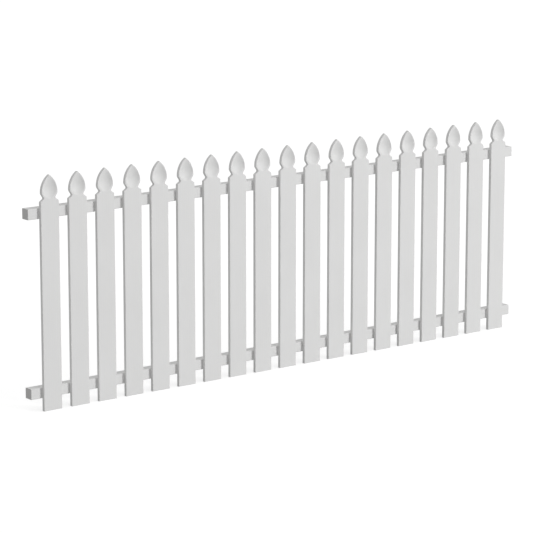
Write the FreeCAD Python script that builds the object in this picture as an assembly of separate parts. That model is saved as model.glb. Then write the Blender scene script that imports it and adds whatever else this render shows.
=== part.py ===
import FreeCAD, Part
import math
import os

# A white picket fence panel: two square rails with a row of pickets fixed to their fronts.
# All sizes are in millimetres. The origin is the middle of the lower rail's left end face,
# with X along the rails to the right, Y to the back and Z up.

# Rails
rail_length = 2438.4
rail_side = 41.3
rail_spacing = 697.0
rail_edge_bevel = 1.6

# Pickets
picket_count = 19
picket_height = 914.4
picket_width = 81.2
picket_thickness = 14.0
picket_edge_bevel = 1.2
end_projection = 48.3
foot_below_rail = 50.0

# Picket head
bulb_below_tip = 67.4
bulb_half_width = 36.0
bulb_radius = 14.0
neck_below_bulb = 21.0
neck_half_width = 25.8
neck_radius = 5.0
shoulder_slope = math.radians(34)

# Dish in the front of the head: a round with a point above it and a short one below
dish_top_below_tip = 7.0
dish_middle_above_bulb = 11.4
dish_foot_below_round = 4.2
dish_rim = 4.2
dish_depth = 9.6

# Places that follow from the sizes above
picket_pitch = (rail_length - 2 * end_projection - picket_width) / (picket_count - 1)
picket_half_width = picket_width / 2
picket_front = -rail_side / 2 - picket_thickness
picket_foot = -rail_side / 2 - foot_below_rail
bulb_height = picket_height - bulb_below_tip
dish_half_width = bulb_half_width - dish_rim
dish_middle = bulb_height + dish_middle_above_bulb
dish_top = picket_height - dish_top_below_tip
dish_foot = dish_middle - dish_half_width - dish_foot_below_round

# An edge lies in a plane if it strays from it by less than this
flatness = 0.001


def spot(across, height):
    return FreeCAD.Vector(across, 0, height)


def direction(vector):
    return vector / vector.Length


def arc(centre, start, end):
    radius = (start - centre).Length
    middle = centre + direction(start + end - centre * 2) * radius
    return Part.Arc(start, middle, end).toShape()


def half_outline():
    """Right half of the picket's outline, from the foot's corner up to the tip."""
    tip = spot(0, picket_height)
    widest = spot(bulb_half_width, bulb_height)
    # The bulb's side is one arc, upright at the widest place and ending at the tip.
    side_radius = (bulb_half_width ** 2 + bulb_below_tip ** 2) / (2 * bulb_half_width)
    side_centre = widest - spot(side_radius, 0)
    bulb_centre = widest - spot(bulb_radius, 0)
    neck_centre = spot(neck_half_width + neck_radius, bulb_height - neck_below_bulb)
    # The flank is the straight line that touches the bulb's arc and the neck's arc.
    between = neck_centre - bulb_centre
    along = (bulb_radius + neck_radius) / between.Length
    outward = direction(spot(-between.z, between.x))
    normal = direction(between) * along + outward * math.sqrt(1 - along ** 2)
    flank_top = bulb_centre + normal * bulb_radius
    flank_foot = neck_centre - normal * neck_radius
    # The shoulder is straight and touches the neck's arc from below.
    rise = spot(math.sin(shoulder_slope), math.cos(shoulder_slope))
    shoulder_top = neck_centre - rise * neck_radius
    shoulder_run = picket_half_width - shoulder_top.x
    corner = shoulder_top + spot(shoulder_run, -shoulder_run * math.tan(shoulder_slope))
    return [
        Part.makeLine(spot(picket_half_width, 0), corner),
        Part.makeLine(corner, shoulder_top),
        arc(neck_centre, shoulder_top, flank_foot),
        Part.makeLine(flank_foot, flank_top),
        arc(bulb_centre, flank_top, widest),
        arc(side_centre, widest, tip),
    ]


def dish_cutter():
    """Ball with a cone above and below, turned about an upright axis before the picket's face."""
    ball_radius = (dish_half_width ** 2 + dish_depth ** 2) / (2 * dish_depth)
    before_face = ball_radius - dish_depth
    touches = []
    ends = []
    for height in (dish_foot, dish_top):
        run = height - dish_middle
        slope = math.atan2(abs(run), before_face) - math.acos(ball_radius / math.hypot(before_face, run))
        # Each cone touches the ball, crosses the face at the end of the dish and goes on past it.
        touch_rise = math.copysign(ball_radius * math.sin(slope), run)
        touch = spot(ball_radius * math.cos(slope), dish_middle + touch_rise)
        crossing = spot(before_face, height)
        touches.append(touch)
        ends.append(crossing + (crossing - touch) / 2)
    low, high = ends
    profile = Part.Wire([
        Part.makeLine(spot(0, low.z), low),
        Part.makeLine(low, touches[0]),
        Part.Arc(touches[0], spot(ball_radius, dish_middle), touches[1]).toShape(),
        Part.makeLine(touches[1], high),
        Part.makeLine(high, spot(0, high.z)),
        Part.makeLine(spot(0, high.z), spot(0, low.z)),
    ])
    body = Part.Face(profile).revolve(spot(0, 0), FreeCAD.Vector(0, 0, 1), 360)
    return body.translated(FreeCAD.Vector(0, -before_face, 0))


def picket():
    """One picket on its own: front on Y = 0, middle on X = 0, foot on Z = 0."""
    right = half_outline()
    left = [edge.mirror(spot(0, 0), FreeCAD.Vector(1, 0, 0)) for edge in right]
    foot = Part.makeLine(spot(-picket_half_width, 0), spot(picket_half_width, 0))
    outline = Part.Wire(Part.__sortEdges__(right + left + [foot]))
    board = Part.Face(outline).extrude(FreeCAD.Vector(0, picket_thickness, 0))
    face_edges = [edge for edge in board.Edges if on_face_outline(edge)]
    return board.makeChamfer(picket_edge_bevel, face_edges).cut(dish_cutter())


def on_face_outline(edge):
    """True for the edges round the front and back of the board, apart from its sawn foot."""
    box = edge.BoundBox
    return box.YLength < flatness and box.ZMax > flatness


def rail():
    """One rail, with the middle of its left end face on the origin."""
    bar = Part.makeBox(rail_length, rail_side, rail_side)
    long_edges = [edge for edge in bar.Edges if edge.BoundBox.XLength > rail_side]
    bar = bar.makeChamfer(rail_edge_bevel, long_edges)
    return bar.translated(FreeCAD.Vector(0, -rail_side / 2, -rail_side / 2))


os.makedirs("parts", exist_ok=True)

rail().exportStep("parts/lower_rail.step")
rail().translated(spot(0, rail_spacing)).exportStep("parts/upper_rail.step")

board = picket()
first_middle = end_projection + picket_half_width
for index in range(picket_count):
    place = FreeCAD.Vector(first_middle + index * picket_pitch, picket_front, picket_foot)
    board.translated(place).exportStep("parts/picket_%02d.step" % (index + 1))
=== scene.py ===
import math

import bmesh
import bpy
from mathutils import Matrix, Vector


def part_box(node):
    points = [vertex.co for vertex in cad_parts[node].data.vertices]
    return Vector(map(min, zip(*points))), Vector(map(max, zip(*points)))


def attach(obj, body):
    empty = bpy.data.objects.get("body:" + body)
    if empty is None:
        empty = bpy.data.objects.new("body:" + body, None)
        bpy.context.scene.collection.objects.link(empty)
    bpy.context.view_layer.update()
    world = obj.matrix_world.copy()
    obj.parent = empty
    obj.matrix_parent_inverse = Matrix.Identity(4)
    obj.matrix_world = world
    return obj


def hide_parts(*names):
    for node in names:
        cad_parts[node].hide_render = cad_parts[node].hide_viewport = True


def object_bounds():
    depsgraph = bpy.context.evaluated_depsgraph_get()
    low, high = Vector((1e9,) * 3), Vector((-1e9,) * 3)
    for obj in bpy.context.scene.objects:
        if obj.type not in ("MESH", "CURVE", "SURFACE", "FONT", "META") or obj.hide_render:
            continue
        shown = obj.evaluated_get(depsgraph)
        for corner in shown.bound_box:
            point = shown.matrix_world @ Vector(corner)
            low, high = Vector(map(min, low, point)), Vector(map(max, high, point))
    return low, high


# A white picket fence panel in painted timber. Lengths are in metres.

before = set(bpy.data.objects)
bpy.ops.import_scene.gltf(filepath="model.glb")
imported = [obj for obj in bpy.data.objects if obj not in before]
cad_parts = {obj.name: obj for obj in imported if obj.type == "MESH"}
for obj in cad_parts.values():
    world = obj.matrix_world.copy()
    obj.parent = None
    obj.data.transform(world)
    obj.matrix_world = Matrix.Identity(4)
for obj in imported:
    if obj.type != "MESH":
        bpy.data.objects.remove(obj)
cad_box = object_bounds()
scene = bpy.context.scene

rails = ["lower_rail", "upper_rail"]
pickets = sorted(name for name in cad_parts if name.startswith("picket"))

# Screws through the rails from behind, two to a picket and set on the slant
screw_across = 0.019
screw_upright = 0.009
screw_turn = math.radians(137.51)
head_radius = 0.0041
head_taper = 0.6
head_depth = 0.0016
head_sides = 28
sunk = 0.0005

# The cross recess in a screw's head, cut from a little above it
recess_length = 0.0046
recess_width = 0.0011
recess_depth = 0.0012
recess_overcut = 0.0005

# The pocket round a screw's head, cut from a little above the wood to a little below the head's top
pocket_gap = 0.0004
pocket_overcut = 0.0003

# Floor, and what it gives off so that it looks white
floor_reach = 80.0
floor_colour = (0.5, 0.5, 0.5, 1)
floor_glow = 0.69

# Camera, at the photograph's viewing angle, with its lens and sensor in millimetres
camera_target = Vector((1.1354, 0.0, 0.3524))
camera_azimuth = -36.94
camera_elevation = 11.92
camera_distance = 10.583
camera_lens = 176.9
camera_sensor = 36.0
camera_clip_end = 500.0


# Node helpers

def add_node(tree, kind, values=None, **settings):
    node = tree.nodes.new(kind)
    for key, value in settings.items():
        setattr(node, key, value)
    for key, value in (values or {}).items():
        node.inputs[key].default_value = value
    return node


def link(tree, source, output, target, socket):
    tree.links.new(source.outputs[output], target.inputs[socket])


# Paint on planed softwood

def stretched(tree, place, along, across_scale, along_scale):
    """Object coordinates drawn out along the grain."""
    scale = [across_scale] * 3
    scale["XYZ".index(along)] = along_scale
    space = add_node(tree, "ShaderNodeMapping", {"Scale": scale})
    link(tree, place, "Object", space, "Vector")
    return space


def noise(tree, space, output, scale, detail, roughness=0.5):
    values = {"Scale": scale, "Detail": detail, "Roughness": roughness}
    node = add_node(tree, "ShaderNodeTexNoise", values)
    link(tree, space, output, node, "Vector")
    return node


def weighted(tree, source, output, share, rest=None):
    """share x source, added to the rest when there is one."""
    node = add_node(tree, "ShaderNodeMath", {1: share, 2: 0.0}, operation="MULTIPLY_ADD")
    link(tree, source, output, node, 0)
    if rest:
        link(tree, rest, 0, node, 2)
    return node


def end_grain_mask(tree, place, along):
    """1 where the surface is sawn across the grain, 0 along it."""
    parts = add_node(tree, "ShaderNodeSeparateXYZ")
    link(tree, place, "Normal", parts, "Vector")
    size = add_node(tree, "ShaderNodeMath", operation="ABSOLUTE")
    link(tree, parts, along, size, 0)
    mask = add_node(tree, "ShaderNodeMapRange", {"From Min": 0.8, "From Max": 0.97},
                    interpolation_type="SMOOTHSTEP")
    link(tree, size, 0, mask, "Value")
    return mask


def paint_colour(tree, tint, ends):
    """White that varies a little with the tint, and much greyer on the sawn ends: a little of that is the
    end grain's own tone, most of it painted shade.
    """
    white = add_node(tree, "ShaderNodeValToRGB")
    low, high = white.color_ramp.elements
    low.position = 0.35
    low.color = (0.742, 0.742, 0.737, 1)
    high.position = 0.9
    high.color = (0.775, 0.775, 0.772, 1)
    link(tree, tint, 0, white, "Fac")
    # Painted shade: faces cut across the grain, such as the rails' ends, are greyed well beyond the end
    # grain's own tone
    ends_tone_and_shade = add_node(tree, "ShaderNodeMix", {"B": (0.505, 0.502, 0.494, 1)}, data_type="RGBA")
    link(tree, weighted(tree, ends, "Result", share=0.7), 0, ends_tone_and_shade, "Factor")
    link(tree, white, "Color", ends_tone_and_shade, "A")
    return ends_tone_and_shade


def paint_material(name, along, across):
    """White satin paint over timber whose grain runs along one axis and lies flat across another."""
    material = bpy.data.materials.new(name)
    material.use_nodes = True
    tree = material.node_tree
    shader = tree.nodes["Principled BSDF"]
    shader.inputs["IOR"].default_value = 1.5
    shader.inputs["Specular IOR Level"].default_value = 0.3
    place = add_node(tree, "ShaderNodeTexCoord")

    fine = stretched(tree, place, along, across_scale=170.0, along_scale=9.0)
    brushed = stretched(tree, place, along, across_scale=800.0, along_scale=16.0)
    broad = stretched(tree, place, along, across_scale=1.0, along_scale=0.07)
    fibre = noise(tree, fine, "Vector", scale=1.0, detail=5.0, roughness=0.55)
    strokes = noise(tree, brushed, "Vector", scale=1.0, detail=2.0)
    cloud = noise(tree, place, "Object", scale=5.0, detail=2.0)
    rings = {"Scale": 34.0, "Distortion": 9.0, "Detail": 2.0, "Detail Scale": 0.35}
    figure = add_node(tree, "ShaderNodeTexWave", rings, bands_direction=across)
    link(tree, broad, "Vector", figure, "Vector")
    ends = end_grain_mask(tree, place, along)

    tint = weighted(tree, cloud, "Fac", share=0.75)
    tint = weighted(tree, fibre, "Fac", share=0.35, rest=tint)
    tint = weighted(tree, figure, "Fac", share=0.12, rest=tint)
    link(tree, paint_colour(tree, tint, ends), "Result", shader, "Base Color")

    dullness = weighted(tree, strokes, "Fac", share=1.0)
    dullness = weighted(tree, ends, "Result", share=0.3, rest=dullness)
    satin = {"From Min": 0.3, "From Max": 0.9, "To Min": 0.56, "To Max": 0.74}
    roughness = add_node(tree, "ShaderNodeMapRange", satin)
    link(tree, dullness, 0, roughness, "Value")
    link(tree, roughness, "Result", shader, "Roughness")

    height = weighted(tree, fibre, "Fac", share=0.6)
    height = weighted(tree, figure, "Fac", share=0.3, rest=height)
    height = weighted(tree, strokes, "Fac", share=0.25, rest=height)
    bump = add_node(tree, "ShaderNodeBump", {"Strength": 0.3, "Distance": 0.0003})
    link(tree, height, 0, bump, "Height")
    link(tree, bump, "Normal", shader, "Normal")
    return material


picket_paint = paint_material("picket_paint", "Z", "X")
rail_paint = paint_material("rail_paint", "X", "Z")

for name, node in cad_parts.items():
    node.data.materials.clear()
    node.data.materials.append(rail_paint if name in rails else picket_paint)


# Rails with screws let into their backs

def screw_places(rail):
    """Where each screw meets the back of a rail."""
    low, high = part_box(rail)
    middle = (low.z + high.z) / 2
    places = []
    for picket in pickets:
        left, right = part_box(picket)
        centre = (left.x + right.x) / 2
        places += [Vector((centre - screw_across, high.y, middle + screw_upright)),
                   Vector((centre + screw_across, high.y, middle - screw_upright))]
    return places


def placed(name, data):
    """New object in the scene, with its mesh, light or camera."""
    piece = bpy.data.objects.new(name, data)
    scene.collection.objects.link(piece)
    return piece


def cut_by(piece, *cutters):
    """The piece's mesh with the cutters taken out of it."""
    for cutter in cutters:
        modifier = piece.modifiers.new("cut", "BOOLEAN")
        modifier.operation = "DIFFERENCE"
        modifier.solver = "EXACT"
        modifier.object = cutter
    graph = bpy.context.evaluated_depsgraph_get()
    mesh = bpy.data.meshes.new_from_object(piece.evaluated_get(graph))
    piece.modifiers.clear()
    return mesh


def discard(*pieces):
    for piece in pieces:
        bpy.data.objects.remove(piece)


def taken(form, name):
    """The bmesh form as a mesh."""
    mesh = bpy.data.meshes.new(name)
    form.to_mesh(mesh)
    form.free()
    return mesh


def below(top, depth):
    """Where the middle of a form goes that reaches down into the wood from a height over its back."""
    facing_back = Matrix.Rotation(math.radians(-90), 4, "X")
    return facing_back @ Matrix.Translation((0, 0, top - depth / 2))


def frustum(name, wide, narrow, depth, top):
    """Round form that narrows from its top down into the wood."""
    form = bmesh.new()
    bmesh.ops.create_cone(form, cap_ends=True, segments=head_sides, radius1=narrow, radius2=wide,
                          depth=depth, matrix=below(top, depth))
    return placed(name, taken(form, name))


def bar(name, length, width, depth, top):
    """Square-edged form that reaches from its top down into the wood."""
    form = bmesh.new()
    size = Matrix.Diagonal((length, width, depth, 1))
    bmesh.ops.create_cube(form, size=1.0, matrix=below(top, depth) @ size)
    return placed(name, taken(form, name))


def repeated(name, pattern, places):
    """One mesh with a copy of the pattern at each place, each turned a little further."""
    form = bmesh.new()
    for index, spot in enumerate(places):
        before = len(form.verts)
        form.from_mesh(pattern)
        form.verts.ensure_lookup_table()
        turn = Matrix.Rotation(index * screw_turn, 4, "Y")
        bmesh.ops.transform(form, matrix=Matrix.Translation(spot) @ turn, verts=form.verts[before:])
    return taken(form, name)


def screw_head():
    """Flat head with a cross recess, sunk just below the wood's back."""
    recess_top = recess_overcut - sunk
    head = frustum("screw_head", head_radius, head_radius * head_taper, head_depth, -sunk)
    first = bar("first_slot", recess_length, recess_width, recess_depth, recess_top)
    second = bar("second_slot", recess_width, recess_length, recess_depth, recess_top)
    mesh = cut_by(head, first, second)
    discard(head, first, second)
    return mesh


head = screw_head()
pocket = frustum("pocket", head_radius + pocket_gap, head_radius, sunk + 2 * pocket_overcut, pocket_overcut)

for rail in rails:
    places = screw_places(rail)
    pockets = placed("pockets", repeated("pockets", pocket.data, places))
    blank = placed("blank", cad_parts[rail].data.copy())
    bored = placed(rail + "_bored", cut_by(blank, pockets))
    discard(pockets, blank)
    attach(bored, "root")
    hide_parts(rail)

    screws = placed(rail + "_screws", repeated(rail + "_screws", head, places))
    screws.data.materials.append(rail_paint)
    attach(screws, "root")
discard(pocket)


# Floor and backdrop

def white_rays(tree):
    """1 for the rays that see the white backdrop: from the camera, off gloss or through glass."""
    rays = add_node(tree, "ShaderNodeLightPath")
    gloss = add_node(tree, "ShaderNodeMath", operation="MAXIMUM")
    link(tree, rays, "Is Camera Ray", gloss, 0)
    link(tree, rays, "Is Glossy Ray", gloss, 1)
    glass = add_node(tree, "ShaderNodeMath", operation="MAXIMUM")
    link(tree, gloss, 0, glass, 0)
    link(tree, rays, "Is Transmission Ray", glass, 1)
    return glass


def floor_material():
    """Matt grey to the light, and lifted to white, but for shadows, to the camera."""
    material = bpy.data.materials.new("floor")
    material.use_nodes = True
    tree = material.node_tree
    tree.nodes.remove(tree.nodes["Principled BSDF"])
    matt = add_node(tree, "ShaderNodeBsdfDiffuse", {"Color": floor_colour})
    glow = add_node(tree, "ShaderNodeEmission", {"Color": (1, 1, 1, 1)})
    link(tree, weighted(tree, white_rays(tree), 0, share=floor_glow), 0, glow, "Strength")
    both = add_node(tree, "ShaderNodeAddShader")
    link(tree, matt, "BSDF", both, 0)
    link(tree, glow, "Emission", both, 1)
    link(tree, both, "Shader", tree.nodes["Material Output"], "Surface")
    return material


def backdrop_world():
    """White to the camera; for lighting, a soft dome that is brighter overhead."""
    world = bpy.data.worlds.new("studio")
    world.use_nodes = True
    tree = world.node_tree
    background = tree.nodes["Background"]
    background.inputs["Color"].default_value = (1, 1, 1, 1)
    aim = add_node(tree, "ShaderNodeTexCoord")
    aim_parts = add_node(tree, "ShaderNodeSeparateXYZ")
    link(tree, aim, "Generated", aim_parts, "Vector")
    heights = {"From Min": -0.3, "From Max": 1.0, "To Min": 0.38, "To Max": 0.72}
    dome = add_node(tree, "ShaderNodeMapRange", heights)
    link(tree, aim_parts, "Z", dome, "Value")
    seen = add_node(tree, "ShaderNodeMapRange", {"To Max": 1.0})
    link(tree, white_rays(tree), 0, seen, "Value")
    link(tree, dome, "Result", seen, "To Min")
    link(tree, seen, "Result", background, "Strength")
    return world


floor_height = min(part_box(name)[0].z for name in pickets)
corners = [(-floor_reach, -floor_reach), (floor_reach, -floor_reach),
           (floor_reach, floor_reach), (-floor_reach, floor_reach)]
floor_mesh = bpy.data.meshes.new("floor")
floor_mesh.from_pydata([(x, y, floor_height) for x, y in corners], [], [(0, 1, 2, 3)])
floor_mesh.materials.append(floor_material())
floor = placed("floor", floor_mesh)
scene.world = backdrop_world()


# Lights and camera

def aimed(name, data, target, azimuth, elevation, distance):
    """Object that looks at the target, from an azimuth to the right of the front and an elevation."""
    across = math.radians(azimuth)
    up = math.radians(elevation)
    away = Vector((math.sin(across) * math.cos(up), -math.cos(across) * math.cos(up), math.sin(up)))
    thing = placed(name, data)
    thing.location = target + away * distance
    thing.rotation_euler = away.to_track_quat("Z", "Y").to_euler()
    return thing


def softbox(name, strength, shape, width, height, azimuth, elevation, distance):
    """Area light on the panel's middle, with a strength that doesn't depend on its distance."""
    light = bpy.data.lights.new(name, "AREA")
    light.shape = shape
    light.size = width
    light.size_y = height
    light.energy = strength * math.pi * distance ** 2
    panel_middle = (cad_box[0] + cad_box[1]) / 2
    lamp = aimed(name, light, panel_middle, azimuth, elevation, distance)
    lamp.visible_camera = False


# One well away to the right and in front, and a weak one straight behind that lights the backs
softbox("key", strength=1.56, shape="DISK", width=6.3, height=6.3,
        azimuth=33, elevation=9, distance=30.0)
softbox("fill", strength=0.35, shape="RECTANGLE", width=6.0, height=2.0,
        azimuth=180, elevation=3.8, distance=12.0)

camera_data = bpy.data.cameras.new("camera")
camera_data.sensor_width = camera_sensor
camera_data.lens = camera_lens
camera_data.clip_end = camera_clip_end
scene.camera = aimed("camera", camera_data, camera_target, camera_azimuth, camera_elevation,
                     camera_distance)

scene.view_settings.view_transform = "Standard"
